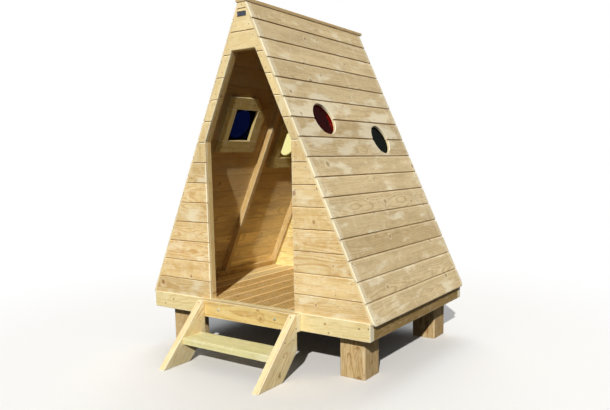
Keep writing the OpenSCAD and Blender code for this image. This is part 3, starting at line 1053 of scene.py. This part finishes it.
# %% Panes and plate
def acrylic(name, tint, thrown):
    """Tinted acrylic, and the colour of the light that it throws."""
    finish = Finish(name)
    dust = finish.place.noise(scale=38.0, detail=4.0, rough=0.65)
    scuff = finish.place.noise(scale=420.0)
    clean = dust.step(0.55, 0.8, 0.04, 0.16) + (scuff - 0.5) * 0.02
    colour = finish.mix(dust.step(0.5, 0.85) * 0.015, tint, srgb(210, 205, 190))
    finish.output(Base_Color=colour, Roughness=clean, Transmission_Weight=0.97, IOR=1.06)
    shadow = finish.node("LightPath", output="Is Shadow Ray")
    filtered = finish.node("BsdfTransparent", {"Color": thrown})
    both = finish.node("MixShader", {0: shadow, 1: finish.shader, 2: filtered})
    wire_up(finish.tree, finish.tree.nodes["Material Output"], {"Surface": both})
    return finish.material


PANES = {
    "pane_blue": ((0.001, 0.003, 0.022, 1), (0.03, 0.08, 0.60, 1)),
    "pane_yellow": ((1.0, 0.92, 0.40, 1), (1.0, 0.80, 0.25, 1)),
    "pane_red": ((0.24, 0.002, 0.003, 1), (1.0, 0.02, 0.03, 1)),
    "pane_green": ((0.006, 0.035, 0.014, 1), (0.05, 0.30, 0.10, 1)),
}
for pane, (tint, thrown) in PANES.items():
    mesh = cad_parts[pane].data
    mesh.materials.clear()
    mesh.materials.append(acrylic(pane + "_acrylic", tint, thrown))


def plate_metal():
    finish = Finish("plate_metal")
    x, y, z = finish.place.split()
    brushed = finish.join(x * 60.0, y * 60.0, z * 2600.0).noise()
    worn = finish.place.noise(scale=90.0, detail=3.0)
    colour = finish.mix(worn.step(0.45, 0.75), srgb(70, 75, 86), srgb(108, 112, 120))
    colour = finish.shade(colour, brushed * 0.3 + 0.85)
    return finish.output(Base_Color=colour, Roughness=brushed * 0.2 + 0.32, Metallic=0.85)


hand_over(eased("name_plate_metal", clean_copy("name_plate"), 0.0008, 2, plate_metal()),
          "plate", "name_plate")
print("panes and plate:", len(PANES) + 1)

# %% [markdown]
# ## Nails, screws and bolts
# Two nails hold each board to each rafter, cross-headed screws hold the deck, rims, step sides and
# window frames, and domed bolts hold the step's back board. Copying each by hand would be slow and
# hard to change, so one head of each kind is drawn, and a geometry tree sets it on a cloud of
# points. Each copy gets a turn of its own, as hand-driven screws have.


# %% Geometry tree that sets heads
def fixings_tree():
    tree, given = new_tree("set_heads", Head="Object", Turn="Float", Seed="Int", Material="Material")
    facing = add_node(tree, "ShaderNodeCombineXYZ", {1: up_to(tree, given["Turn"], given["Seed"])})
    placed = add_node(tree, "GeometryNodeInstanceOnPoints", {
        "Points": given["Geometry"], "Instance": other_object(tree, given["Head"], True),
        "Rotation": facing})
    finish_tree(tree, placed, given["Material"])
    return tree


FIXINGS = fixings_tree()
print("tree", FIXINGS.name, "has", len(FIXINGS.nodes), "nodes")


# %% Heads and their metal
def cross_outline(arm, half):
    """Outline of a cross, as one quarter of it turned four times."""
    arm_end = [complex(arm, -half), complex(arm, half), complex(half, half)]
    corners = [corner * 1j ** turns for turns in range(4) for corner in arm_end]
    return [(corner.real, corner.imag) for corner in corners]


def nail_head():
    return turned("nail_head", [(0.0015, 0.0022), (-0.0001, 0.0022), (-0.0003, 0.0018)], 10)


def screw_head():
    head = turned("screw_head", [(0.0020, 0.0040), (-0.0001, 0.0040), (-0.0004, 0.0036)], 14)
    recess = from_bmesh("recess", prism(cross_outline(0.0024, 0.0005), -0.001, 0.001))
    return carve(head, recess, "DIFFERENCE")


def bolt_head():
    washer = [(0.0015, 0.0074), (-0.0009, 0.0074), (-0.0013, 0.0070), (-0.0013, 0.0054)]
    dome = [(-0.0021, 0.0053), (-0.0032, 0.0044), (-0.0039, 0.0029), (-0.0042, 0.0012)]
    return turned("bolt_head", washer + dome, 20)


def steel(name, bright, tarnish, rough):
    finish = Finish(name)
    spangle = finish.place.noise(scale=900.0, detail=3.0, rough=0.6)
    film = finish.place.noise(scale=70.0)
    shine = (spangle * 0.6 + film * 0.4).step(0.4, 0.62)
    colour = finish.mix(shine, srgb(*tarnish), srgb(*bright))
    bump = finish.bump(spangle, 0.2, 0.0003)
    return finish.output(Base_Color=colour, Roughness=spangle * 0.25 + rough, Metallic=0.9, Normal=bump)


# %% Rules for the places of heads
NAIL_IN = 0.028
RAFTER_IN = 0.022
SCREW_IN = 0.025
JOIST_HALF = 0.0225


def nail_rows(first, cover, low, high):
    """Two heights in each board of a face, or one in a narrow board."""
    joints = [low] + [first + cover * i for i in range(ceil((high - first) / cover))] + [high]
    rows = []
    for foot, head in zip(joints, joints[1:]):
        if head - foot > 3 * NAIL_IN:
            rows += [foot + NAIL_IN, head - NAIL_IN]
        elif head - foot > NAIL_IN:
            rows.append((foot + head) / 2)
    return rows


def middle_of(node):
    low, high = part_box(node)
    return (low + high) / 2


WALL_ROWS = nail_rows(WALL_FIRST, WALL_COVER, 0, RIDGE_H)
SLOPE_ROWS = nail_rows(SLOPE_FIRST, SLOPE_COVER, -SLOPE_DROP, SLOPE_TOP)
RAFTER_LINES = [middle_of(f"{place}_rafter_right").y - FRONT_Y for place in RAFTERS]
POST_X = middle_of("door_post_right").x
rafter_nails = [(side * (INNER_X - z * LEAN - RAFTER_IN), z) for z in WALL_ROWS for side in SIDES]
post_nails = [(side * POST_X, z) for z in WALL_ROWS for side in SIDES
              if INNER_X - z * LEAN - RAFTER_IN - POST_X > NAIL_IN]
JOIST_LOW, JOIST_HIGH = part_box("floor_joists")
joist_lines = [JOIST_LOW.y + JOIST_HALF, middle_of("floor_joists").y, JOIST_HIGH.y - JOIST_HALF]
deck_screws = [(DECK_HIGH.y - y, board * DECK_COVER + inset) for y in joist_lines
               for board in range(DECK_BOARDS) for inset in (SCREW_IN, DECK_COVER - SCREW_IN)]
print("nails on one slope", len(SLOPE_ROWS) * len(RAFTER_LINES), "screws in the deck", len(deck_screws))

# %% Nails, screws and bolts in their faces
FRAME_T = 0.022
TURN_ROUND = Matrix.Translation((0, BOARD_T + FRAME_T, 0)) @ Matrix.Rotation(pi, 4, "Z")
SIDE_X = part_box("step_side_right")[1].x
SIDE_SCREWS = ((-0.4447, 0.250), (-0.4703, 0.195), (-0.5379, 0.199), (-0.5486, 0.128), (-0.5834, 0.056))
RIM_SCREWS = ((-0.6665, 0.253), (0.6908, 0.287), (0.7426, 0.293))
FRAME_SCREWS = ((-0.129, -0.132), (0.129, -0.132), (-0.129, 0.132), (0.045, 0.132), (0.129, 0.045))
NOSE_SCREWS = ((-0.3244, 0.425), (0.3244, 0.425))
PLATE_NAILS = ((-0.023, 1.849), (0.023, 1.849))
BOLTS = ((-0.2, 0.276), (0.2, 0.276))


def front_of(y, up=UPWARD):
    """Frame of a face that looks forward, measured from the cabin's middle line on the ground."""
    return face_frame((0, y, 0), ACROSS, up)


def frame_screws(side):
    """Places in a window frame's inner face, with its sawn corner at the back."""
    places = []
    for which in WINDOWS:
        x, z = window_centre(which, side)
        places += [(-x - side * across, z + up) for across, up in FRAME_SCREWS]
    return places


def set_heads(name, head, material, largest_turn, *faces):
    """Sets one kind of head on several faces, each a frame with its list of places."""
    joined = bmesh.new()
    for seed, (where, places) in enumerate(faces):
        points = bpy.data.meshes.new("places")
        points.from_pydata([(x, 0, z) for x, z in places], [], [])
        heads = run_tree(new_object("places", points), FIXINGS, Head=head, Turn=largest_turn,
                         Seed=seed, Material=material)
        heads.data.transform(where)
        joined.from_mesh(heads.data)
        discard(heads)
    discard(head)
    obj = from_bmesh(name, joined)
    obj.data.materials.append(material)
    hand_over(shade(obj), "plate")
    print(name, sum(len(places) for _, places in faces), "faces", len(obj.data.polygons))


NAIL_STEEL = steel("nail_steel", (168, 156, 134), (104, 88, 66), 0.45)
SCREW_STEEL = steel("screw_steel", (120, 104, 78), (66, 54, 40), 0.40)
BOLT_ZINC = steel("bolt_zinc", (214, 216, 214), (150, 150, 144), 0.25)
set_heads("nails", nail_head(), NAIL_STEEL, TURN,
          (RIGHT, [(along, up) for along in RAFTER_LINES for up in SLOPE_ROWS]),
          (LEFT, [(CABIN_D - along, up) for along in RAFTER_LINES for up in SLOPE_ROWS]),
          (FRONT, rafter_nails + post_nails), (BACK, rafter_nails),
          (front_of(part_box("name_plate")[0].y), PLATE_NAILS))
set_heads("screws", screw_head(), SCREW_STEEL, TURN / 4,
          (front_of(RIM_Y), RIM_SCREWS),
          (face_frame((0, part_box("rim_back")[1].y, 0), -ACROSS, UPWARD), RIM_SCREWS),
          (face_frame((SIDE_X, 0, 0), BACKWARD, UPWARD), SIDE_SCREWS),
          (face_frame((-SIDE_X, 0, 0), -BACKWARD, UPWARD), [(-y, z) for y, z in SIDE_SCREWS]),
          (RIGHT @ TURN_ROUND, frame_screws(1)), (LEFT @ TURN_ROUND, frame_screws(-1)))
set_heads("pale_screws", screw_head(), NAIL_STEEL, TURN / 4, (DECK, deck_screws),
          (front_of(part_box("step_side_right")[0].y, STAIR_UP), NOSE_SCREWS))
set_heads("bolts", bolt_head(), BOLT_ZINC, TURN, (front_of(STEP_Y), BOLTS))

# %% [markdown]
# ## Camera, light and floor
# The camera stands where the photograph was taken, at child height in front of the right corner.
# The floor fades to white away from the cabin, so only the shadow shows. The sun stands to the
# front right, a broad weak lamp behind the ridge keeps the far sides readable, and the white
# surroundings fill the shade.

# %% Camera
CAMERA_AT = Vector((2.1742, -2.8787, 1.1059))
TURNED = 0.5819
TILTED = -0.1257
ROLLED = -0.0126
PHOTO_W = 610
PHOTO_H = 410
FOCAL_PX = 614.21
CENTRE_PX = (332.45, 236.01)
SENSOR_W = 36.0

ahead = Vector((-sin(TURNED) * cos(TILTED), cos(TURNED) * cos(TILTED), sin(TILTED)))
level_right = Vector((cos(TURNED), sin(TURNED), 0))
level_up = level_right.cross(ahead)
right = cos(ROLLED) * level_right + sin(ROLLED) * level_up
upright = -sin(ROLLED) * level_right + cos(ROLLED) * level_up
camera = new_object("camera", bpy.data.cameras.new("camera"))
camera.data.sensor_width = SENSOR_W
camera.data.lens = FOCAL_PX * SENSOR_W / PHOTO_W
camera.data.shift_x = (PHOTO_W / 2 - CENTRE_PX[0]) / PHOTO_W
camera.data.shift_y = (CENTRE_PX[1] - PHOTO_H / 2) / PHOTO_W
camera.matrix_world = Matrix.Translation(CAMERA_AT) @ Matrix((right, upright, -ahead)).transposed().to_4x4()
scene.camera = camera
print("lens", round(camera.data.lens, 2), "mm")

# %% Sun and surroundings
SUN_FROM = Vector((0.377, -0.7595, 0.530))
FILL_FROM = Vector((-0.35, 0.50, 0.80))


def lamp(name, toward, energy, spread, colour):
    made = new_object(name, bpy.data.lights.new(name, "SUN"))
    made.data.energy = energy
    made.data.angle = radians(spread)
    made.data.color = colour
    made.rotation_mode = "QUATERNION"
    made.rotation_quaternion = toward.to_track_quat("Z", "Y")


def emptied(owner):
    """Takes out a world's or material's own nodes. Returns the way to add others."""
    owner.use_nodes = True
    owner.node_tree.nodes.clear()
    return partial(shader_node, owner.node_tree)


def surroundings():
    """White to the camera and behind panes. To the timber it is a soft light from above."""
    world = bpy.data.worlds.new("surroundings")
    add = emptied(world)
    rays = add("LightPath").outputs
    height = add("SeparateXYZ", {0: add("TexCoord").outputs["Generated"]})
    brighter_up = add("MapRange", {
        "Value": height.outputs["Z"], "From Min": -0.1, "From Max": 0.9, "To Min": 0.05,
        "To Max": 0.29}, interpolation_type="SMOOTHSTEP")
    fill = add("Background", {"Color": (0.95, 0.97, 1.0, 1), "Strength": brighter_up})
    white = add("Background", {"Color": (1, 1, 1, 1)})
    seen = rays["Is Camera Ray"]
    for kind in ("Is Glossy Ray", "Is Transmission Ray"):
        seen = add("Math", {0: seen, 1: rays[kind]}, operation="MAXIMUM")
    both = add("MixShader", {0: seen, 1: fill, 2: white})
    add("OutputWorld", {"Surface": both})
    return world


lamp("sun", SUN_FROM, 3.4, 1.2, (1.0, 0.965, 0.90))
lamp("soft_fill", FILL_FROM, 0.9, 40, (0.96, 0.98, 1.0))
scene.view_settings.view_transform = "Standard"
scene.world = surroundings()

# %% Floor
FLOOR_R = 12.0
FADE_FROM = 1.3
FADE_TO = 3.2


def pale_floor():
    """Pale near the cabin and white beyond. It throws less light back than it shows."""
    finish = bpy.data.materials.new("pale_floor")
    add = emptied(finish)
    spot = add("TexCoord").outputs["Object"]
    away = add("VectorMath", {0: spot}, operation="LENGTH").outputs["Value"]
    fade = add("MapRange", {"Value": away, "From Min": FADE_FROM, "From Max": FADE_TO},
               interpolation_type="SMOOTHSTEP")
    near = add("BsdfDiffuse", {"Color": (0.93, 0.93, 0.93, 1)})
    bounce = add("BsdfDiffuse", {"Color": (0.11, 0.11, 0.10, 1)})
    glow = add("Emission", {"Color": (1, 1, 1, 1)})
    faded = add("MixShader", {0: fade, 1: near, 2: glow})
    seen = add("LightPath").outputs["Is Camera Ray"]
    shown = add("MixShader", {0: seen, 1: bounce, 2: faded})
    add("OutputMaterial", {"Surface": shown})
    return finish


bm = bmesh.new()
bmesh.ops.create_circle(bm, cap_ends=True, segments=96, radius=FLOOR_R)
floor = from_bmesh("floor", bm)
floor.data.materials.append(pale_floor())
print("floor radius", FLOOR_R)
